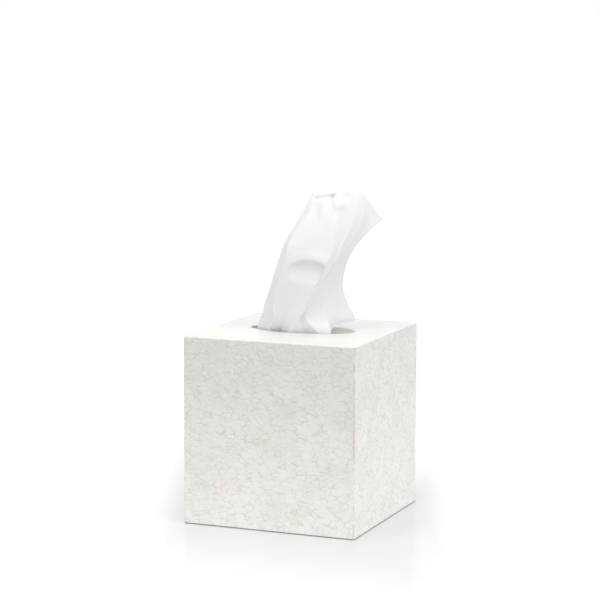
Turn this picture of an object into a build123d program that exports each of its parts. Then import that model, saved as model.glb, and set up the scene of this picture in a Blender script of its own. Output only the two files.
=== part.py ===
from build123d import *
import math
import os

# A square tissue box. A lacquered cover with an open bottom and an oval mouth
# stands over a refill carton. The carton holds a folded clip of tissues, and
# one tissue stands out through the slit film and the mouth.
# Millimetres, +Z up, +Y away from the front. The origin lies on the table,
# under the middle of the cover.

# Cover
cover_width = 140.0
cover_depth = 140.0
cover_height = 146.0
cover_wall = 9.5
cover_top = 9.5
cover_edge_round = 1.2
mouth_length = 86.0
mouth_width = 42.0
mouth_round = 0.8

# Refill carton, loose inside the cover
carton_side_gap = 5.0
carton_head_gap = 9.5
board = 0.6
fold_round = 1.4
oval_side = 8.5
oval_width = 50.0
bottom_flap_gap = 15.8
top_flap_gap = 37.8
flap_taper = 9.0
glue_lap = 15.0

# Slit film under the carton's oval
film_overlap = 5.0
film_thickness = 0.3
film_corner = 6.0
film_glue_gap = 1.0
slit_end = 9.0
slit_width = 14.0

# Clip of tissues, folded over in two legs
clip_side_gap = 0.6
clip_end_gap = 2.4
clip_head_gap = 11.9
clip_crown_rise = 12.0
clip_shoulder_round = 30.0
clip_heel = 12.0
clip_heel_slope = 44.0
clip_fold_gap = 1.2
clip_crown = 28.0

# The tissue that stands out
sheet_thickness = 0.4
sheet_rise = 109.0
sheet_turn = 22.0
sheet_rest_gap = 0.7
foot_spread = 0.8
mouth_clearance = 0.4
slit_clearance = 1.0
steps_up = 4
turn_share = 0.06

# The tissue's creases, in order from its right edge over the front to the left
# and back to its other edge behind. In the slit and the mouth a place is a
# share of the half length and of the half width there. Above the mouth it is
# right and back of the mouth's middle, in millimetres, in the tissue's own
# turned frame. The last value is how far the crease's top ends below the crest.
creases = {
    "right_edge": {
        "slit": (0.66, 0.80), "mouth": (0.66, 0.76),
        "above": ((38.5, 4), (36, 3), (31.2, 3), (34.2, 4), (41, 5), (50, 7), (62, 8)),
        "fall": 24,
    },
    "right_line": {
        "slit": (0.66, -0.80), "mouth": (0.66, -0.84),
        "above": ((18.5, -18), (17.7, -15.5), (17.4, -15), (25, -13), (35.5, -11.5), (45, -10.5), (47.5, -4)),
        "fall": 3.5,
    },
    "band": {
        "slit": (0.34, -0.90), "mouth": (0.46, -0.88),
        "above": ((4.8, -20), (4.6, -19), (12.5, -18), (22, -18.5), (29.8, -17.5), (39, -15), (43, -7)),
        "fall": 0,
    },
    "tuck": {
        "slit": (0.16, -0.20), "mouth": (0.19, -0.60),
        "above": ((-0.5, -15.5), (1, -17), (8, -17.5), (17.5, -18), (26.5, -15), (27.5, -11.5), (27, -2.5)),
        "fall": 0,
    },
    "ridge": {
        "slit": (-0.14, -0.90), "mouth": (-0.07, -1.0),
        "above": ((-6, -20), (2.8, -21.5), (9.2, -22.5), (18.4, -23), (23.6, -19.5), (22.8, -14.5), (22.3, -4)),
        "fall": 9.5,
    },
    "front_valley": {
        "slit": (-0.30, -0.20), "mouth": (-0.28, -0.70),
        "above": ((-15.6, -15), (-14, -17), (-6, -20), (3, -22.5), (6, -20.5), (11, -15.5), (16.5, -5)),
        "fall": 9.5,
    },
    "left_ridge": {
        "slit": (-0.50, -0.85), "mouth": (-0.494, -1.0),
        "above": ((-22.5, -15), (-23, -15), (-20.5, -16), (-15.2, -17.5), (-11.5, -15), (-2.5, -10), (10.5, -3)),
        "fall": 9.3,
    },
    "left_turn": {
        "slit": (-0.84, -0.90), "mouth": (-0.81, -0.90),
        "above": ((-32.6, 0), (-30, 1), (-25, 1), (-20, 1), (-14.2, 1), (-4.7, 0), (6.5, 1)),
        "fall": 3.8,
    },
    "back_right_turn": {
        "slit": (0.10, 0.35), "mouth": (0.02, 0.40),
        "above": ((8, 7), (16, 6), (21, 5), (26, 4), (33, 4), (40, 4), (44, 4)),
        "fall": 1,
    },
    "back_left_turn": {
        "slit": (-0.36, 0.45), "mouth": (-0.41, 0.28),
        "above": ((-15, 11), (-15, 11), (-12, 10), (-6, 9), (1, 9), (8, 9), (12, 9)),
        "fall": 4,
    },
    "back_edge": {
        "slit": (0.30, 0.95), "mouth": (0.15, 0.91),
        "above": ((15, 15), (18, 15), (21, 14), (25, 13), (31, 13), (37, 13), (42, 13)),
        "fall": 5,
    },
}
# Each height above the mouth, as a share of the rise, with the share of its
# fall that a crease has reached there.
heights = ((0.095, 0.12), (0.185, 0.05), (0.33, 0.06), (0.485, 0.06), (0.63, 0.20), (0.79, 0.48), (1.0, 1.0))

# The buckle below the bend, a half-moon pocket in the front panels
front_panels = ("ridge", "front_valley")
buckle_right, buckle_height, buckle_half, buckle_drop = 3.0, 56.5, 14.5, 4.5
buckle_depth, lip_bulge = 4.6, 0.9

carton_width = cover_width - 2 * cover_wall - 2 * carton_side_gap
carton_depth = cover_depth - 2 * cover_wall - 2 * carton_side_gap
carton_height = cover_height - cover_top - carton_head_gap
oval_length = carton_width - 2 * oval_side
bottom_flap = (carton_width - 2 * board - bottom_flap_gap) / 2
top_flap = (carton_width - 2 * board - top_flap_gap) / 2

film_length = oval_length + 2 * film_overlap
film_width = oval_width + 2 * film_overlap
slit_length = oval_length - 2 * slit_end
film_top = carton_height - board
film_bottom = film_top - film_thickness

clip_bottom = 2 * board
clip_top = film_bottom - clip_head_gap
clip_height = clip_top - clip_bottom
clip_half = (carton_width - 2 * board - 2 * clip_side_gap) / 2
clip_depth = carton_depth - 2 * board - 2 * clip_end_gap


def make_cover():
    outside = Box(cover_width, cover_depth, cover_height, align=(Align.CENTER, Align.CENTER, Align.MIN))
    outside = fillet(outside.edges().filter_by(Axis.Z) + outside.faces().sort_by(Axis.Z)[-1].edges(), cover_edge_round)
    inside = Box(
        cover_width - 2 * cover_wall,
        cover_depth - 2 * cover_wall,
        cover_height - cover_top,
        align=(Align.CENTER, Align.CENTER, Align.MIN),
    )
    mouth = extrude(Ellipse(mouth_length / 2, mouth_width / 2), cover_height + 1)
    shell = outside - inside - mouth
    rim = [e for e in shell.faces().sort_by(Axis.Z)[-1].inner_wires()[0].edges()]
    return fillet(rim, mouth_round)


def plate(outline, bottom, thickness):
    return Pos(0, 0, bottom) * extrude(outline, thickness)


def flap(side, reach):
    # A dust flap folded in from the left or right side, narrower at its free end
    outer = carton_width / 2 - board
    inner = outer - reach
    half = carton_depth / 2 - fold_round
    corners = [(outer, -half), (outer, half), (inner, half - flap_taper), (inner, -half + flap_taper)]
    return make_face(Polyline([(side * x, y) for x, y in corners], close=True))


def film_outline(grow=0.0):
    return RectangleRounded(film_length + 2 * grow, film_width + 2 * grow, film_corner + grow)


def make_carton():
    outline = RectangleRounded(carton_width, carton_depth, fold_round)
    hollow = RectangleRounded(carton_width - 2 * board, carton_depth - 2 * board, fold_round - board)
    carton = plate(outline, 0, carton_height) - plate(hollow, board, carton_height - 2 * board)
    carton -= plate(Ellipse(oval_length / 2, oval_width / 2), film_top - 1, board + 2)
    for side in (-1, 1):
        carton += plate(flap(side, bottom_flap), board, board)
        carton += plate(flap(side, top_flap), film_top - board, board) - plate(
            film_outline(film_glue_gap), film_top - board, board
        )
    lap = Box(board, glue_lap, carton_height - 6 * board, align=(Align.MIN, Align.MAX, Align.MIN))
    carton += Pos(-carton_width / 2 + board, carton_depth / 2 - fold_round, 3 * board) * lap
    return carton


def slit_outline(shrink=0.0):
    half_length = slit_length / 2 - shrink
    half_width = slit_width / 2 - shrink
    front = ThreePointArc((-half_length, 0), (0, -half_width), (half_length, 0))
    back = ThreePointArc((half_length, 0), (0, half_width), (-half_length, 0))
    return make_face([front, back])


def make_film():
    return plate(film_outline() - slit_outline(), film_bottom, film_thickness)


def make_clip():
    # Seen from the front: two legs with slanted heels under one rounded crown
    shoulder = clip_height - clip_crown_rise
    right = [(clip_half, shoulder), (clip_half, clip_heel_slope), (clip_heel, 0), (-clip_heel, 0)]
    outline = make_face(
        [
            ThreePointArc((-clip_half, shoulder), (0, clip_height), (clip_half, shoulder)),
            Polyline(right + [(-clip_half, clip_heel_slope), (-clip_half, shoulder)]),
        ]
    )
    shoulders = outline.vertices().filter_by(lambda v: abs(v.Y - shoulder) < 0.01)
    outline = fillet(shoulders, clip_shoulder_round)
    fold_height = clip_height - clip_crown
    fold = Pos(0, fold_height / 2 - 1) * SlotOverall(fold_height + 2, clip_fold_gap, rotation=90)
    clip = extrude(Plane.XZ * (outline - fold), clip_depth / 2, both=True)
    return Pos(0, 0, clip_bottom) * clip


def crown_height(x):
    # The clip's upper surface over a place right or left of its middle
    radius = (clip_half**2 + clip_crown_rise**2) / (2 * clip_crown_rise)
    return clip_top - radius + math.sqrt(radius**2 - x**2)


def place_in_slit(share, spread=1.0):
    half_length = spread * (slit_length / 2 - slit_clearance)
    half_width = slit_width / 2 - slit_clearance
    return share[0] * half_length, share[1] * half_width * (1 - share[0] ** 2)


def place_in_mouth(share):
    margin = mouth_clearance + sheet_thickness / 2
    half_width = (mouth_width / 2 - margin) * math.sqrt(1 - share[0] ** 2)
    return share[0] * (mouth_length / 2 - margin), share[1] * half_width


def turned(right, back):
    angle = math.radians(sheet_turn)
    x = right * math.cos(angle) - back * math.sin(angle)
    y = right * math.sin(angle) + back * math.cos(angle)
    return x, y


def unturned(x, y):
    angle = math.radians(sheet_turn)
    right = x * math.cos(angle) + y * math.sin(angle)
    back = -x * math.sin(angle) + y * math.cos(angle)
    return right, back


def between(a, b, t):
    return tuple(p + (q - p) * t for p, q in zip(a, b))


def levels():
    # The tissue's section at each height, as one point per crease
    foot = [(*place_in_slit(c["slit"], foot_spread), clip_top) for c in creases.values()]
    slit = [(*place_in_slit(c["slit"]), film_bottom) for c in creases.values()]
    mouth = [(*place_in_mouth(c["mouth"]), cover_height - mouth_round) for c in creases.values()]
    sections = [foot, slit, mouth]
    for number, (share, fallen) in enumerate(heights):
        section = []
        for crease in creases.values():
            z = cover_height + share * sheet_rise - fallen * crease["fall"]
            section.append((*turned(*crease["above"][number]), z))
        sections.append(section)
    return sections


def smooth_curve(points, steps):
    # A centripetal spline through the points, as places between them
    ends = [between(points[1], points[0], 2), *points, between(points[-2], points[-1], 2)]
    places = []
    for a, b, c, d in zip(ends, ends[1:], ends[2:], ends[3:]):
        t0 = 0
        t1 = t0 + math.dist(a, b) ** 0.5
        t2 = t1 + math.dist(b, c) ** 0.5
        t3 = t2 + math.dist(c, d) ** 0.5
        for step in range(steps):
            t = t1 + (t2 - t1) * step / steps
            ab = between(a, b, (t - t0) / (t1 - t0))
            bc = between(b, c, (t - t1) / (t2 - t1))
            cd = between(c, d, (t - t2) / (t3 - t2))
            abc = between(ab, bc, (t - t0) / (t2 - t0))
            bcd = between(bc, cd, (t - t1) / (t3 - t1))
            places.append(between(abc, bcd, (t - t1) / (t2 - t1)))
    return places + [points[-1]]


def strip_shares(name, after):
    # Where the panel between two creases is divided: the front ones in three,
    # and the ones beside a tight turn with a narrow strip along it
    shares = [1 / 3, 2 / 3] if name in front_panels else []
    if name.endswith("turn"):
        shares = [turn_share, *shares]
    if after.endswith("turn"):
        shares = [*shares, 1 - turn_share]
    return shares


def in_strips(section):
    names = list(creases)
    points = [section[0]]
    for name, after, a, b in zip(names, names[1:], section, section[1:]):
        points += [between(a, b, share) for share in strip_shares(name, after)] + [b]
    return points


def column_of(crease):
    names = list(creases)
    before = names[: names.index(crease) + 1]
    return sum(len(strip_shares(*pair)) + 1 for pair in zip(before, before[1:]))


def ease(t):
    t = min(max(t, 0), 1)
    return t * t * (3 - 2 * t)


def dent(right, z):
    # How far the front panels are pushed back at a place seen from the front
    beside = min(abs(right - buckle_right) / buckle_half, 1)
    below = cover_height + buckle_height - buckle_drop * beside**2 - z
    width = (1 - beside**2) ** 0.8
    pocket = width * ease(below / 2) * (1 - ease((below - 3) / (3 + 9 * width)))
    roll = (1 - ease((beside - 0.7) / 0.3)) * math.exp(-(((below + 2.5) / 4.5) ** 2))
    return buckle_depth * pocket - lip_bulge * roll


def sheet_places():
    rows = [in_strips(section) for section in levels()]
    rest = sheet_rest_gap + sheet_thickness / 2
    rows[0] = [(x, y, crown_height(x) + rest) for x, y, z in rows[0]]
    columns = [smooth_curve([row[j] for row in rows], steps_up) for j in range(len(rows[0]))]
    for column in columns[column_of("ridge") + 1 : column_of("left_ridge")]:
        for i, (x, y, z) in enumerate(column):
            right, back = unturned(x, y)
            column[i] = (*turned(right, back + dent(right, z)), z)
    return [[column[i] for column in columns] for i in range(len(columns[0]))]


def offset_places(places, distance):
    # Each place moved along the sheet's own normal there
    last_row = len(places) - 1
    last_column = len(places[0]) - 1
    moved = []
    for i, row in enumerate(places):
        new_row = []
        for j, place in enumerate(row):
            across = Vector(*row[min(j + 1, last_column)]) - Vector(*row[max(j - 1, 0)])
            upward = Vector(*places[min(i + 1, last_row)][j]) - Vector(*places[max(i - 1, 0)][j])
            normal = across.cross(upward).normalized()
            new_row.append(Vector(*place) + normal * distance)
        moved.append(new_row)
    return moved


def triangles(a, b, c, d, from_a):
    # Two plane faces over four corners, divided from a to c or from b to d
    halves = [(a, b, c), (a, c, d)] if from_a else [(a, b, d), (b, c, d)]
    return [Face(Polyline(*half, close=True)) for half in halves]


def make_tissue():
    # Plane triangles on both sides of the sheet, divided alike so that it is
    # evenly thick, and closed along its four edges
    places = sheet_places()
    front = offset_places(places, -sheet_thickness / 2)
    back = offset_places(places, sheet_thickness / 2)
    top = len(places) - 1
    left = len(places[0]) - 1
    faces = []
    for i in range(top):
        for j in range(left):
            corners = [(i, j), (i, j + 1), (i + 1, j + 1), (i + 1, j)]
            a, b, c, d = (places[row][column] for row, column in corners)
            from_a = math.dist(a, c) < math.dist(b, d)
            for side in (front, back):
                faces += triangles(*(side[row][column] for row, column in corners), from_a)
    border = [(0, j) for j in range(left)] + [(i, left) for i in range(top)]
    border += [(top, j) for j in range(left, 0, -1)] + [(i, 0) for i in range(top, -1, -1)]
    for (i, j), (row, column) in zip(border, border[1:]):
        faces += triangles(front[i][j], front[row][column], back[row][column], back[i][j], True)
    return Solid(Shell(faces))


os.makedirs("parts", exist_ok=True)
export_step(make_cover(), "parts/cover.step")
export_step(make_carton(), "parts/carton.step")
export_step(make_film(), "parts/film.step")
export_step(make_clip(), "parts/tissue_clip.step")
export_step(make_tissue(), "parts/tissue.step")
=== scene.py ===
import math

import bpy
import numpy as np
from mathutils import Matrix, Vector, noise


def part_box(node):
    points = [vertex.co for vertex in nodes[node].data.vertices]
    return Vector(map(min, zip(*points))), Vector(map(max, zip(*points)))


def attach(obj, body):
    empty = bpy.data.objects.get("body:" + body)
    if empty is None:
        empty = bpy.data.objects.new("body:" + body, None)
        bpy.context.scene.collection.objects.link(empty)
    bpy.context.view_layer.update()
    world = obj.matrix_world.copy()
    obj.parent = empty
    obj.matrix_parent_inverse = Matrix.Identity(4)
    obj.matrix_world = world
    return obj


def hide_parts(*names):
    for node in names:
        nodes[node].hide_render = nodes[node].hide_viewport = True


# A square tissue box in crackled white lacquer, with one tissue standing out
# of its oval mouth. Metres, +Z up, the front towards -Y.

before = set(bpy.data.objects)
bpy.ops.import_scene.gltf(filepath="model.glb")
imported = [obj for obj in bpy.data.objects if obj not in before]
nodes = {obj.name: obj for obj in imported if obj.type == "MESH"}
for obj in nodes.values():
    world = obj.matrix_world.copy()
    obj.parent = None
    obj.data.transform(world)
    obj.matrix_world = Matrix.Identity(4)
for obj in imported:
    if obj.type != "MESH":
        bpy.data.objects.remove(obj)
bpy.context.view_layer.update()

MM = 0.001
cover_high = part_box("cover")[1]
clip_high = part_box("tissue_clip")[1]
film_low, film_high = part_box("film")
cover_half = cover_high.x
cover_height = cover_high.z

# Camera: a long lens a little above the top, its place in widths of the cover
camera_turn = 22.19
camera_pitch = 7.84
camera_roll = 0.17
camera_distance = 12.03
camera_right = -0.017
camera_height = 1.205
image_size = 600
focal_pixels = 2163
sensor_width = 36

# Light: the lamps in watts, and the white that the floor shows of its own, kept lower by the box as painted
# shade
ambient = 0.15
overhead_power = 19.5
front_power = 14.8
right_power = 17.4
inside_power = 0.0048
table_power = 0.25
glow_in_painted_shade = 0.16
beside_glow = 0.32
floor_glow = 0.50
lit_radius = 0.45
shadow_reach = 0.30
beside_fade = 30 * MM
mirror_near = 0.03
mirror_far = 0.40

# The cover's make-up, where model.glb does not give it
cover_wall = 9.5 * MM
mouth_half_length = 43 * MM
mouth_half_width = 21 * MM
crack_width = 0.55 * MM
plate_size = 5.0 * MM
fine_plate_size = 2.7 * MM
plate_stretch = (1.30, 1.35, 0.84)
top_edge = (0.2 * MM, 0.8 * MM)

# The clip, slit and mouth that the tissue rests on and passes, in millimetres
slit_end = 14
slit_half_width = 7.0
slit_clearance = 1
mouth_round = 0.8
mouth_margin = 0.6
clip_crown_rise = 12.0
foot_gap = 1.2
foot_spread = 0.8

# The tissue's creases, in order from its right edge over the front to the left
# and back to its other edge behind. In the slit and the mouth a place is a
# share of the half length and of the half width there. Above the mouth it is
# right and back of the mouth's middle, in millimetres, in the tissue's own
# turned frame. The last value is how far the crease's top ends below the crest.
sheet_rise = 109.0
sheet_turn = 22.0
sheet_thickness = 0.24
creases = {
    "right_edge": {
        "slit": (0.66, 0.80), "mouth": (0.41, 0.93),
        "above": ((40.4, 3), (35.5, 2), (31.2, 3), (34.2, 4), (41, 5), (50, 7), (62, 8)),
        "fall": 24,
    },
    "right_line": {
        "slit": (0.66, -0.80), "mouth": (0.66, -0.84),
        "above": ((18.5, -18), (17.7, -15.5), (17.4, -15), (25, -13), (35.5, -11.5), (45, -10.5), (47.5, -4)),
        "fall": 3.5,
    },
    "band": {
        "slit": (0.34, -0.90), "mouth": (0.46, -0.92),
        "above": ((2.8, -20.5), (4.9, -20.2), (12.8, -20.8), (23, -20), (30.5, -17.5), (39, -15), (43, -7)),
        "fall": 0,
    },
    "tuck": {
        "slit": (0.16, -0.20), "mouth": (0.18, -0.80),
        "above": (
            (-1.3, -18.3), (3.7, -21.2), (10.9, -22.0), (20.6, -20.6),
            (27, -16), (27.5, -11.5), (27, -2.5),
        ),
        "fall": 0,
    },
    "ridge": {
        "slit": (-0.14, -0.90), "mouth": (-0.07, -1.0),
        "above": (
            (-5.2, -20.5), (2.4, -21.8), (9.0, -22.8), (17.4, -22.8),
            (23.2, -19.5), (22.8, -14.5), (22.3, -4),
        ),
        "fall": 7.5,
    },
    "front_valley": {
        "slit": (-0.30, -0.20), "mouth": (-0.28, -0.80),
        "above": ((-15.6, -15), (-14, -17), (-6, -20), (3, -22.5), (6, -20.5), (11, -15.5), (16.5, -5)),
        "fall": 9.5,
    },
    "left_ridge": {
        "slit": (-0.50, -0.85), "mouth": (-0.494, -1.0),
        "above": (
            (-22.5, -15), (-23, -15), (-20.5, -16), (-15.2, -17.5),
            (-11.5, -15), (-2.5, -10), (10.5, -3),
        ),
        "fall": 7.8,
    },
    "left_turn": {
        "slit": (-0.84, -0.90), "mouth": (-0.81, -0.90),
        "above": ((-32.6, 0), (-30, 1), (-25, 1), (-20, 1), (-14.2, 1), (-4.7, 0), (6.5, 1)),
        "fall": 3.8,
    },
    "back_right_turn": {
        "slit": (0.10, 0.35), "mouth": (0.02, 0.40),
        "above": ((8, 7), (16, 6), (21, 5), (26, 4), (33, 4), (40, 4), (44, 4)),
        "fall": 1,
    },
    "back_left_turn": {
        "slit": (-0.36, 0.45), "mouth": (-0.41, 0.28),
        "above": ((-15, 11), (-15, 11), (-12, 10), (-6, 9), (1, 9), (8, 9), (12, 9)),
        "fall": 4,
    },
    "back_edge": {
        "slit": (0.30, 0.95), "mouth": (0.15, 0.91),
        "above": ((15, 15), (18, 15), (21, 14), (25, 13), (31, 13), (37, 13), (42, 13)),
        "fall": 5,
    },
}
# Each height above the mouth, as a share of the rise, with the share of its
# fall that a crease has reached there.
heights = ((0.095, 0.12), (0.185, 0.05), (0.33, 0.06), (0.485, 0.06), (0.63, 0.20), (0.79, 0.48), (1.0, 1.0))
crease_share = 0.22
steps_across = 5
steps_up = 12

# The buckle below the bend: a pocket under a rounded lip, in millimetres
buckle_right, buckle_height, buckle_half, buckle_drop = 3.0, 56.5, 14.5, 4.5
pocket_depth, pocket_edge, pocket_floor = 3.4, 3.0, 7
pocket_rise, pocket_rise_middle = 4, 9
lip_bulge, lip_above, lip_reach = 0.9, 2.5, 4.5

# The tuck at the top: a small fold along a wavy line, over a dip
tuck_height, tuck_wave, tuck_wave_place, tuck_wave_length = 102.5, 1.2, 22, 3.2
tuck_left, tuck_left_fade, tuck_right, tuck_right_fade = 21, 3, 30, 7
tuck_depth, tuck_half_edge, dip_depth, dip_reach = 2.6, 0.6, 1.6, 3.5

# The knob: the front layer's rounded top
knob_right, knob_height, knob_half = 17.0, 91.0, 7.0
knob_arch, arch_reach = 3.6, 6
knob_bulge, bulge_reach, fall_start, fall_reach, fall_share = 1.8, 16, 2, 14, 1.6


def ease(t):
    t = np.clip(t, 0, 1)
    return t * t * (3 - 2 * t)


def turned(right, back):
    angle = math.radians(sheet_turn)
    return right * math.cos(angle) - back * math.sin(angle), right * math.sin(angle) + back * math.cos(angle)


def unturned(x, y):
    angle = math.radians(sheet_turn)
    return x * math.cos(angle) + y * math.sin(angle), y * math.cos(angle) - x * math.sin(angle)


def crease_levels():
    """The tissue's section at each height, as one point per crease, in millimetres"""
    top = cover_height / MM
    half_length = film_high.x / MM - slit_end - slit_clearance
    half_width = slit_half_width - slit_clearance
    foot, slit, mouth = [], [], []
    for crease in creases.values():
        along, across = crease["slit"]
        x = along * half_length
        slit.append((x, across * half_width * (1 - along**2), film_low.z / MM))
        x = foot_spread * x
        y = across * half_width * (1 - (foot_spread * along) ** 2)
        foot.append((x, y, clip_top_at(x) + foot_gap))
        along, across = crease["mouth"]
        x = along * (mouth_half_length / MM - mouth_margin)
        y = across * (mouth_half_width / MM - mouth_margin) * math.sqrt(1 - along**2)
        mouth.append((x, y, top - mouth_round))
    foot, slit, mouth = map(np.array, (foot, slit, mouth))
    levels = [foot, slit, mouth]
    for number, (share, fallen) in enumerate(heights):
        section = []
        for crease in creases.values():
            z = top + share * sheet_rise - fallen * crease["fall"]
            section.append((*turned(*crease["above"][number]), z))
        levels.append(np.array(section))
    return np.array(levels)


def clip_top_at(x):
    """The tissue clip's crown over a place right or left of its middle"""
    half = clip_high.x / MM
    radius = (half**2 + clip_crown_rise**2) / (2 * clip_crown_rise)
    return clip_high.z / MM - radius + math.sqrt(radius**2 - x**2)


def smooth_curve(points, steps):
    """A centripetal spline through points along their first axis"""
    before = 2 * points[0] - points[1]
    after = 2 * points[-1] - points[-2]
    ends = np.concatenate([[before], points, [after]])
    places = []
    for a, b, c, d in zip(ends, ends[1:], ends[2:], ends[3:]):
        t1 = np.linalg.norm(b - a, axis=-1, keepdims=True) ** 0.5
        t2 = t1 + np.linalg.norm(c - b, axis=-1, keepdims=True) ** 0.5
        t3 = t2 + np.linalg.norm(d - c, axis=-1, keepdims=True) ** 0.5
        for step in range(steps):
            t = t1 + (t2 - t1) * step / steps
            ab = a + (b - a) * t / t1
            bc = b + (c - b) * (t - t1) / (t2 - t1)
            cd = c + (d - c) * (t - t2) / (t3 - t2)
            abc = ab + (bc - ab) * t / t2
            bcd = bc + (cd - bc) * (t - t1) / (t3 - t1)
            places.append(abc + (bcd - abc) * (t - t1) / (t2 - t1))
    return np.array(places + [points[-1]])


def with_flat_panels(levels):
    """Two more points in each panel keep it flat and its creases tight"""
    columns = [levels[:, 0]]
    for a, b in zip(levels.swapaxes(0, 1), levels.swapaxes(0, 1)[1:]):
        columns += [a + (b - a) * crease_share, b + (a - b) * crease_share, b]
    return np.array(columns).swapaxes(0, 1)


def press_buckle(right, back, z):
    beside = (right - buckle_right) / buckle_half
    below = cover_height / MM + buckle_height - buckle_drop * beside**2 - z
    width = np.clip(1 - beside**2, 0, 1) ** 0.8
    floor = 1 - ease((below - pocket_floor) / (pocket_rise + pocket_rise_middle * width))
    pocket = width * ease(below / pocket_edge) * floor
    wide = 1 - ease((np.abs(beside) - 0.7) / 0.6)
    roll = wide * np.exp(-((below + lip_above) / lip_reach) ** 2)
    return back + pocket_depth * pocket - lip_bulge * roll, z


def press_tuck(right, back, z):
    line = cover_height / MM + tuck_height - tuck_wave * np.sin((right - tuck_wave_place) / tuck_wave_length)
    width = ease((right - tuck_left) / tuck_left_fade) * (1 - ease((right - tuck_right) / tuck_right_fade))
    above = z - line
    fold = ease((above + tuck_half_edge) / (2 * tuck_half_edge))
    dip = np.exp(-((above + dip_reach) / dip_reach) ** 2)
    return back + width * (tuck_depth * fold - dip_depth * dip), z


def shape_knob(right, back, z):
    beside = np.clip(np.abs(right - knob_right) / knob_half, 0, 1)
    above = z - cover_height / MM - knob_height
    arch = knob_arch * (1 - beside**2) * ease((above + arch_reach) / (2 * arch_reach))
    bulge = ease((above + bulge_reach) / bulge_reach) - fall_share * ease((above + fall_start) / fall_reach)
    return back - knob_bulge * (1 - beside**2) ** 2 * bulge, z + arch


def share_between(places, opening, closing):
    """How much each column takes part in a form, from 0 to 1 and back to 0.

    opening and closing each give a crease, how far inside it the fade starts and
    how wide the fade is, in thirds of a panel.
    """
    names = list(creases)
    columns = np.arange(places.shape[1]) / steps_across
    crease, inset, width = opening
    after = (columns - 3 * names.index(crease) - inset) / width
    crease, inset, width = closing
    before = (3 * names.index(crease) - columns - inset) / width
    return ease(np.minimum(after, before))


def sheet_places():
    """The tissue's middle surface as rows of places, in metres"""
    rows = smooth_curve(with_flat_panels(crease_levels()).swapaxes(0, 1), steps_across).swapaxes(0, 1)
    places = smooth_curve(rows, steps_up)
    right, back = unturned(places[..., 0], places[..., 1])
    z = places[..., 2]
    forms = (
        (press_buckle, share_between(places, ("tuck", 2, 1), ("left_turn", 0, 3))),
        (shape_knob, share_between(places, ("ridge", -0.5, 1), ("left_ridge", -0.5, 1))),
        (press_tuck, share_between(places, ("right_line", 0, 1), ("ridge", 0, 1))),
    )
    for form, share in forms:
        new_back, new_z = form(right, back, z)
        back = back + share * (new_back - back)
        z = z + share * (new_z - z)
    places[..., 0], places[..., 1] = turned(right, back)
    places[..., 2] = z
    return places * MM


def grid_normals(places):
    across = np.gradient(places, axis=1)
    upward = np.gradient(places, axis=0)
    normals = np.cross(across, upward)
    return normals / np.linalg.norm(normals, axis=-1, keepdims=True)


def paper_coordinates(places):
    """How far across and up the sheet each place is, in metres"""
    across = np.linalg.norm(np.diff(places, axis=1), axis=-1).mean(0)
    upward = np.linalg.norm(np.diff(places, axis=0), axis=-1).mean(1)
    return np.concatenate([[0], across.cumsum()]), np.concatenate([[0], upward.cumsum()])


def paper_noise(u, v, wide, high, seed, shift=0.0):
    return noise.noise(Vector((u / wide + shift, v / high - shift, seed)))


def wrinkles(places):
    """Soft creasing of thin paper, as a height at each place"""
    across, upward = paper_coordinates(places)
    heights_there = np.zeros(places.shape[:2])
    for i, v in enumerate(upward):
        for j, u in enumerate(across):
            broad = paper_noise(u, v, 0.016, 0.026, 3.1)
            fold = 1 - 2 * abs(paper_noise(u, v, 0.009, 0.013, 7.7, broad))
            fine = paper_noise(u, v, 0.0035, 0.005, 11.3)
            heights_there[i, j] = 0.45 * broad + 0.22 * fold + 0.07 * fine
    return heights_there * MM


def closed_sheet(name, places, thickness):
    """A thin closed sheet about a grid of places"""
    normals = grid_normals(places)
    rows, columns = places.shape[:2]
    count = rows * columns
    front = places + normals * thickness / 2
    behind = places - normals * thickness / 2
    index = np.arange(count).reshape(rows, columns)
    quads = np.stack([index[:-1, :-1], index[:-1, 1:], index[1:, 1:], index[1:, :-1]], -1).reshape(-1, 4)
    border = np.concatenate([index[0, :-1], index[:-1, -1], index[-1, :0:-1], index[:0:-1, 0]])
    after = np.roll(border, -1)
    hem = np.stack([border, border + count, after + count, after], -1)
    faces = np.concatenate([quads, quads[:, ::-1] + count, hem])
    mesh = bpy.data.meshes.new(name)
    mesh.from_pydata(np.concatenate([front, behind]).reshape(-1, 3).tolist(), [], faces.tolist())
    mesh.update()
    mesh.polygons.foreach_set("use_smooth", np.ones(len(mesh.polygons), bool))
    piece = bpy.data.objects.new(name, mesh)
    bpy.context.collection.objects.link(piece)
    return piece


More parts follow.
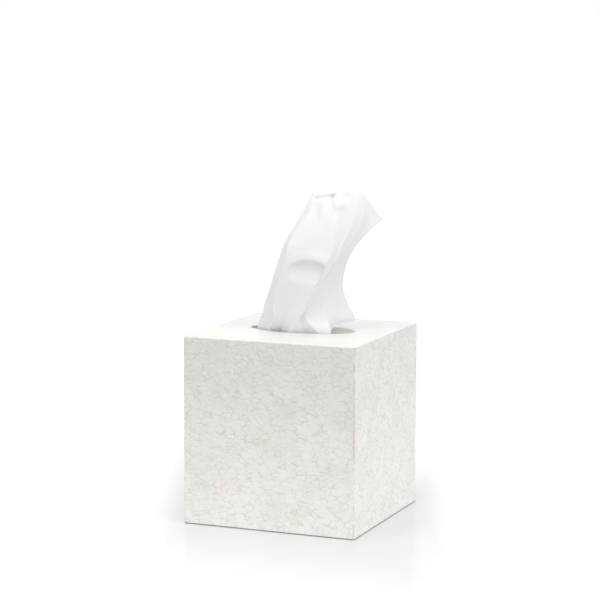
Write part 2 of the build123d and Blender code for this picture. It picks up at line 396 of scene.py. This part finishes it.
class Shader:
    """One material, built from plain calls"""

    def __init__(self, name, roughness, **fixed):
        self.material = bpy.data.materials.new(name)
        self.material.use_nodes = True
        self.tree = self.material.node_tree
        self.surface = self.tree.nodes["Principled BSDF"]
        self.surface.inputs["Roughness"].default_value = roughness
        for socket, value in fixed.items():
            self.surface.inputs[socket.replace("_", " ")].default_value = value
        self.place = self.add("ShaderNodeTexCoord").outputs["Object"]

    def add(self, kind, **settings):
        node = self.tree.nodes.new(kind)
        for key, value in settings.items():
            setattr(node, key, value)
        return node

    def put(self, socket, value):
        if isinstance(value, bpy.types.NodeSocket):
            self.tree.links.new(value, socket)
        else:
            socket.default_value = value

    def math(self, operation, a, b=0.0):
        node = self.add("ShaderNodeMath", operation=operation)
        self.put(node.inputs[0], a)
        self.put(node.inputs[1], b)
        return node.outputs[0]

    def times(self, a, b):
        return self.math("MULTIPLY", a, b)

    def minus(self, a, b):
        return self.math("SUBTRACT", a, b)

    def vector(self, operation, a, b):
        node = self.add("ShaderNodeVectorMath", operation=operation)
        self.put(node.inputs[0], a)
        self.put(node.inputs[1], b)
        return node.outputs[0]

    def length(self, vector):
        node = self.add("ShaderNodeVectorMath", operation="LENGTH")
        self.put(node.inputs[0], vector)
        return node.outputs["Value"]

    def stretched(self, factors):
        return self.vector("MULTIPLY", self.place, factors)

    def elsewhere(self, offset):
        """The place moved far enough for noise that matches no other"""
        return self.vector("ADD", self.place, offset)

    def axis(self, name, place=None):
        node = self.add("ShaderNodeSeparateXYZ")
        self.put(node.inputs[0], place or self.place)
        return node.outputs[name]

    def beside(self, name):
        """How far a place is from the middle plane across an axis"""
        return self.math("ABSOLUTE", self.axis(name))

    def widest(self):
        """The larger of a place's distances from the two upright middle planes"""
        return self.math("MAXIMUM", self.beside("X"), self.beside("Y"))

    def noise(self, size, detail=2.0, place=None, color=False):
        node = self.add("ShaderNodeTexNoise")
        self.put(node.inputs["Vector"], place or self.place)
        self.put(node.inputs["Scale"], 1 / size)
        self.put(node.inputs["Detail"], detail)
        return node.outputs["Color" if color else "Fac"]

    def edges(self, size, place, stretch):
        """How far a place is from the nearest border between cells, in metres.

        stretch draws the cells out along an axis, and keeps their borders evenly wide.
        """
        squeezed = self.vector("DIVIDE", place, stretch)
        nearest = []
        for feature in ("DISTANCE_TO_EDGE", "F1", "F2"):
            node = self.add("ShaderNodeTexVoronoi", feature=feature)
            self.put(node.inputs["Vector"], squeezed)
            self.put(node.inputs["Scale"], 1 / size)
            nearest.append(node.outputs)
        between = self.vector("SUBTRACT", nearest[2]["Position"], nearest[1]["Position"])
        across = self.vector("NORMALIZE", between, (0, 0, 0))
        slope = self.length(self.vector("DIVIDE", across, stretch))
        return self.math("DIVIDE", self.times(nearest[0]["Distance"], size), slope)

    def cell_shade(self, size, place):
        node = self.add("ShaderNodeTexVoronoi", feature="F1")
        self.put(node.inputs["Vector"], place)
        self.put(node.inputs["Scale"], 1 / size)
        return self.axis("X", node.outputs["Color"])

    def ramp(self, value, low, high, to_low=0.0, to_high=1.0):
        node = self.add("ShaderNodeMapRange", interpolation_type="SMOOTHSTEP")
        given = {"Value": value, "From Min": low, "From Max": high, "To Min": to_low, "To Max": to_high}
        for name, wanted in given.items():
            self.put(node.inputs[name], wanted)
        return node.outputs["Result"]

    def blend(self, factor, a, b):
        node = self.add("ShaderNodeMix", data_type="FLOAT")
        self.put(node.inputs[0], factor)
        self.put(node.inputs[2], a)
        self.put(node.inputs[3], b)
        return node.outputs[0]

    def tint(self, factor, a, b):
        node = self.add("ShaderNodeMix", data_type="RGBA")
        self.put(node.inputs["Factor"], factor)
        self.put(node.inputs["A"], a)
        self.put(node.inputs["B"], b)
        return node.outputs["Result"]

    def color(self, value):
        self.put(self.surface.inputs["Base Color"], value)

    def rough(self, value):
        self.put(self.surface.inputs["Roughness"], value)

    def bump(self, height, distance):
        node = self.add("ShaderNodeBump")
        self.put(node.inputs["Height"], height)
        self.put(node.inputs["Distance"], distance)
        self.put(self.surface.inputs["Normal"], node.outputs["Normal"])


def crackle(s, on_side):
    """Cracks between small plates, the plates' rounded edges and the plates' shades"""
    middle = (0.5, 0.5, 0.5)
    drift = s.vector("SUBTRACT", s.noise(0.026, 1.0, color=True), middle)
    jitter = s.vector("SUBTRACT", s.noise(0.0026, 1.0, color=True), middle)
    place = s.vector("ADD", s.place, s.vector("MULTIPLY", drift, (0.015, 0.015, 0.011)))
    place = s.vector("ADD", place, s.vector("MULTIPLY", jitter, (0.0011, 0.0011, 0.0011)))
    border = s.edges(plate_size, place, plate_stretch)
    fading = s.ramp(s.noise(0.007), 0.40, 0.60, 0.15, 1.0)
    crack = s.times(s.ramp(border, crack_width, 0.1 * crack_width), fading)
    patchy = s.ramp(s.noise(0.019, 1.0), 0.46, 0.60)
    fine = s.ramp(s.edges(fine_plate_size, place, plate_stretch), 0.7 * crack_width, 0.0)
    crack = s.math("MAXIMUM", crack, s.times(fine, s.times(patchy, 0.55)))
    crack = s.times(crack, s.blend(on_side, 0.18, 1.0))
    return crack, s.ramp(border, 0.0, 0.0018), s.cell_shade(plate_size, place)


def lacquer_color(s, crack, shade, on_side, red):
    """Off-white, clouded, with painted shade making the sides darker towards their top, and stained in places
    """
    body = s.tint(shade, (0.815, 0.805, 0.775, 1), (0.845, 0.836, 0.808, 1))
    cloud = s.ramp(s.noise(0.045, 3.0), 0.35, 0.65)
    body = s.tint(s.times(cloud, 0.5), body, (0.795, 0.788, 0.745, 1))
    green = s.ramp(s.noise(0.026, place=s.elsewhere((0.3, 0.1, 0.2))), 0.56, 0.72)
    body = s.tint(s.times(green, 0.5), body, (0.775, 0.800, 0.755, 1))
    rosy = s.ramp(s.noise(0.021, place=s.elsewhere((0.7, 0.4, 0.9))), 0.58, 0.74)
    body = s.tint(s.times(rosy, 0.5), body, (0.812, 0.752, 0.725, 1))
    # Painted shade: the sides are tinted darker towards their top
    high = s.times(s.ramp(s.axis("Z"), 0.3 * cover_height, cover_height, 0.0, 0.3), on_side)
    body = s.tint(high, body, (0.66, 0.645, 0.605, 1))
    body = s.tint(s.times(crack, 0.32), body, (0.430, 0.400, 0.350, 1))
    stain = s.ramp(s.noise(0.012, place=s.elsewhere((0.2, 0.8, 0.5))), 0.60, 0.76)
    stain = s.times(stain, s.times(s.blend(crack, 0.10, 0.60), on_side))
    return s.tint(stain, body, s.tint(red, (0.660, 0.600, 0.420, 1), (0.700, 0.540, 0.490, 1)))


def worn_edges_and_contact_shadow(s, body, red):
    """The four upright edges rubbed through, and a painted contact shadow along the foot"""
    from_edge = s.math("ADD", s.minus(cover_half, s.beside("X")), s.minus(cover_half, s.beside("Y")))
    ragged = s.times(s.minus(s.noise(0.006, 3.0), 0.5), 0.0024)
    worn = s.ramp(s.minus(from_edge, ragged), 0.0011, 0.0005)
    worn_color = s.tint(red, (0.56, 0.52, 0.46, 1), (0.60, 0.44, 0.39, 1))
    body = s.tint(s.times(worn, 0.6), body, worn_color)
    # Painted contact shadow: a dark band on the lacquer where the base meets the floor
    painted_contact_shadow = s.ramp(s.axis("Z"), 0.9 * MM, 0.5 * MM)
    return s.tint(s.times(painted_contact_shadow, 0.75), body, (0.07, 0.065, 0.06, 1))


def raw_inside(s, body):
    """Bare board in the mouth and on the inner walls"""
    grain = s.noise(0.0012, 3.0, s.stretched((0.25, 0.25, 1.0)))
    raw = s.tint(grain, (0.72, 0.68, 0.63, 1), (0.86, 0.83, 0.79, 1))
    along = s.math("POWER", s.math("DIVIDE", s.axis("X"), mouth_half_length), 2.0)
    across = s.math("POWER", s.math("DIVIDE", s.axis("Y"), mouth_half_width), 2.0)
    in_mouth = s.math("LESS_THAN", s.math("ADD", along, across), 1.012)
    in_walls = s.math("LESS_THAN", s.widest(), cover_half - cover_wall + 0.05 * MM)
    below_top = s.math("LESS_THAN", s.axis("Z"), cover_height - cover_wall + 0.05 * MM)
    return s.tint(s.math("MAXIMUM", in_mouth, s.times(in_walls, below_top)), body, raw)


def lacquer_material():
    """White lacquer crackled into small plates, with worn edges and a raw mouth"""
    s = Shader("crackle_lacquer", 0.36, Coat_Weight=0.4, Coat_Roughness=0.25)
    on_side = s.ramp(s.axis("Z"), *(cover_height - depth for depth in top_edge))
    crack, dome, shade = crackle(s, on_side)
    red = s.ramp(s.noise(0.020, 1.0), 0.48, 0.56)
    body = lacquer_color(s, crack, shade, on_side, red)
    s.color(raw_inside(s, worn_edges_and_contact_shadow(s, body, red)))
    s.rough(s.blend(crack, 0.34, 0.62))
    relief = s.math("ADD", s.times(dome, 0.55), s.times(s.noise(0.0016), 0.30))
    relief = s.minus(relief, s.times(crack, 0.6))
    relief = s.math("ADD", relief, s.times(s.noise(0.009, 1.0), 0.8))
    s.bump(s.times(relief, s.blend(on_side, 0.3, 1.0)), 0.00022)
    return s.material


def board_material():
    """White folding carton with short paper fibres"""
    s = Shader("carton_board", 0.62)
    fibre = s.noise(0.0016, 3.0, s.stretched((1.0, 1.0, 0.3)))
    body = s.tint(fibre, (0.76, 0.75, 0.72, 1), (0.84, 0.83, 0.80, 1))
    s.color(s.tint(s.times(s.noise(0.018), 0.3), body, (0.70, 0.69, 0.655, 1)))
    s.rough(s.ramp(fibre, 0.3, 0.7, 0.58, 0.70))
    s.bump(fibre, 0.00006)
    return s.material


def film_material():
    """Thin clear film, a little rippled"""
    s = Shader("clear_film", 0.12, Alpha=0.32)
    ripple = s.noise(0.012, place=s.stretched((0.4, 1.0, 1.0)))
    s.color(s.tint(ripple, (0.84, 0.86, 0.87, 1), (0.93, 0.94, 0.95, 1)))
    s.rough(s.ramp(ripple, 0.3, 0.7, 0.08, 0.20))
    s.bump(ripple, 0.0006)
    return s.material


def clip_material():
    """The folded tissues seen as fine layers"""
    s = Shader("layered_tissues", 0.9)
    wave = s.vector("MULTIPLY", s.noise(0.02, color=True), (0.0, 0.0, 0.003))
    wavy = s.vector("MULTIPLY", s.vector("ADD", s.place, wave), (0.03, 0.03, 1.0))
    lines = s.ramp(s.noise(0.0014, place=wavy), 0.40, 0.60)
    s.color(s.tint(lines, (0.80, 0.80, 0.79, 1), (0.91, 0.91, 0.90, 1)))
    s.rough(s.blend(lines, 0.95, 0.85))
    s.bump(lines, 0.0005)
    return s.material


def tissue_material():
    """Soft matt paper with a fine crepe and faint embossing"""
    s = Shader("tissue_paper", 0.92)
    crepe = s.noise(0.00055, place=s.stretched((1.0, 1.0, 2.2)))
    cloud = s.noise(0.004, 3.0)
    s.color(s.tint(cloud, (0.925, 0.925, 0.925, 1), (0.955, 0.955, 0.955, 1)))
    s.rough(s.ramp(crepe, 0.3, 0.7, 0.88, 0.96))
    s.bump(s.math("ADD", s.times(crepe, 0.5), cloud), 0.00012)
    through = s.add("ShaderNodeBsdfTranslucent")
    s.put(through.inputs["Color"], (0.97, 0.97, 0.97, 1))
    both = s.add("ShaderNodeMixShader")
    both.inputs["Fac"].default_value = 0.35
    s.tree.links.new(s.surface.outputs["BSDF"], both.inputs[1])
    s.tree.links.new(through.outputs["BSDF"], both.inputs[2])
    s.tree.links.new(both.outputs["Shader"], s.tree.nodes["Material Output"].inputs["Surface"])
    return s.material


def floor_glow_about(s):
    """White of the floor's own: low by the box as painted shade, more beside it as the camera sees it, and
    full far away
    """
    widest = s.widest()
    # Painted shade: the floor's own white is kept low near the box
    glow_with_painted_shade = s.ramp(widest, cover_half, cover_half + shadow_reach, glow_in_painted_shade, floor_glow)
    turn = math.radians(camera_turn)
    half_span = cover_half * (math.cos(turn) + math.sin(turn))
    across = s.math("ADD", s.times(s.axis("X"), math.cos(turn)), s.times(s.axis("Y"), math.sin(turn)))
    across = s.math("ABSOLUTE", across)
    beside = s.ramp(across, half_span, half_span + beside_fade, glow_in_painted_shade, beside_glow)
    far = s.ramp(s.length(s.place), lit_radius, 3 * lit_radius, 0.0, 1.0 - floor_glow)
    return s.math("ADD", s.math("MAXIMUM", glow_with_painted_shade, beside), far)


def floor_material():
    """Pale, slightly glossy floor that shows white to the camera where it is open"""
    s = Shader("pale_floor", 0.14)
    s.color((0.60, 0.60, 0.60, 1))
    light_path = s.add("ShaderNodeLightPath").outputs
    seen = s.math("MAXIMUM", light_path["Is Camera Ray"], light_path["Is Glossy Ray"])
    seen = s.math("MAXIMUM", seen, light_path["Is Transmission Ray"])
    mirror = s.ramp(s.widest(), cover_half + mirror_near, cover_half + mirror_far, 1.0, 0.0)
    s.put(s.surface.inputs["Specular IOR Level"], mirror)
    s.surface.inputs["Emission Color"].default_value = (1, 1, 1, 1)
    s.put(s.surface.inputs["Emission Strength"], s.times(seen, floor_glow_about(s)))
    return s.material


def make_floor():
    size = 60.0
    mesh = bpy.data.meshes.new("floor")
    corners = [(-size, -size, 0), (size, -size, 0), (size, size, 0), (-size, size, 0)]
    mesh.from_pydata(corners, [], [(0, 1, 2, 3)])
    floor = bpy.data.objects.new("floor", mesh)
    bpy.context.collection.objects.link(floor)
    floor.data.materials.append(floor_material())


def make_world():
    world = bpy.data.worlds.new("studio")
    bpy.context.scene.world = world
    world.use_nodes = True
    tree = world.node_tree
    background = tree.nodes["Background"]
    background.inputs["Color"].default_value = (1, 1, 1, 1)
    path = tree.nodes.new("ShaderNodeLightPath")
    seen = path.outputs["Is Camera Ray"]
    for name in ("Is Glossy Ray", "Is Transmission Ray"):
        both = tree.nodes.new("ShaderNodeMath")
        both.operation = "MAXIMUM"
        tree.links.new(seen, both.inputs[0])
        tree.links.new(path.outputs[name], both.inputs[1])
        seen = both.outputs[0]
    strength = tree.nodes.new("ShaderNodeMapRange")
    strength.inputs["To Min"].default_value = ambient
    strength.inputs["To Max"].default_value = 1.0
    tree.links.new(seen, strength.inputs["Value"])
    tree.links.new(strength.outputs["Result"], background.inputs["Strength"])


def make_lamp(name, place, power, size, aim=(0, 0, 0.8 * cover_height)):
    lamp = bpy.data.objects.new(name, bpy.data.lights.new(name, "AREA"))
    lamp.data.energy = power
    lamp.data.size = size
    lamp.visible_camera = False
    lamp.visible_glossy = False
    aim = Vector(aim)
    lamp.location = place
    lamp.rotation_euler = (aim - lamp.location).to_track_quat("-Z", "Y").to_euler()
    bpy.context.collection.objects.link(lamp)


def make_camera():
    width = 2 * cover_half
    turn, pitch, roll = (math.radians(a) for a in (camera_turn, camera_pitch, camera_roll))
    back = Vector((math.sin(turn) * math.cos(pitch), -math.cos(turn) * math.cos(pitch), math.sin(pitch)))
    side = Vector((math.cos(turn), math.sin(turn), 0))
    up = back.cross(side)
    place = side * camera_right * width + back * camera_distance * width
    place += Vector((0, 0, camera_height * width))
    rolled_side = math.cos(roll) * side + math.sin(roll) * up
    rolled_up = math.cos(roll) * up - math.sin(roll) * side
    camera = bpy.data.objects.new("camera", bpy.data.cameras.new("camera"))
    columns = (rolled_side.to_4d(), rolled_up.to_4d(), back.to_4d(), place.to_4d())
    matrix = Matrix(columns).transposed()
    matrix[3] = (0, 0, 0, 1)
    bpy.context.collection.objects.link(camera)
    camera.matrix_world = matrix
    camera.data.sensor_width = sensor_width
    camera.data.lens = focal_pixels / image_size * sensor_width
    bpy.context.scene.camera = camera


def set_material(piece, material):
    piece.data.materials.clear()
    piece.data.materials.append(material)


def make_tissue():
    places = sheet_places()
    places = places + grid_normals(places) * wrinkles(places)[..., None]
    tissue = closed_sheet("tissue_sheet", places, sheet_thickness * MM)
    set_material(tissue, tissue_material())
    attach(tissue, "root")
    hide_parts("tissue")


bpy.context.scene.view_settings.view_transform = "Standard"
make_camera()
make_world()
make_floor()
make_lamp("overhead", (0.0, -0.1, 1.5), overhead_power, 1.6)
make_lamp("front", (-1.2, -1.6, 0.9), front_power, 1.2)
make_lamp("right", (1.7, -0.5, 0.8), right_power, 1.2)
# Light thrown about under the mouth, on its right and left, and up from the table
make_lamp("inside", (0.026, 0, film_high.z + MM), inside_power, 0.03, aim=(0.026, 0, 1))
make_lamp("inside_left", (-0.036, 0, film_high.z + MM), 0.25 * inside_power, 0.012, aim=(-0.036, 0, 1))
make_lamp("table", (0, 0, 0.0005), table_power, 0.38, aim=(0, 0, 1))

set_material(nodes["cover"], lacquer_material())
set_material(nodes["carton"], board_material())
set_material(nodes["film"], film_material())
set_material(nodes["tissue_clip"], clip_material())
make_tissue()
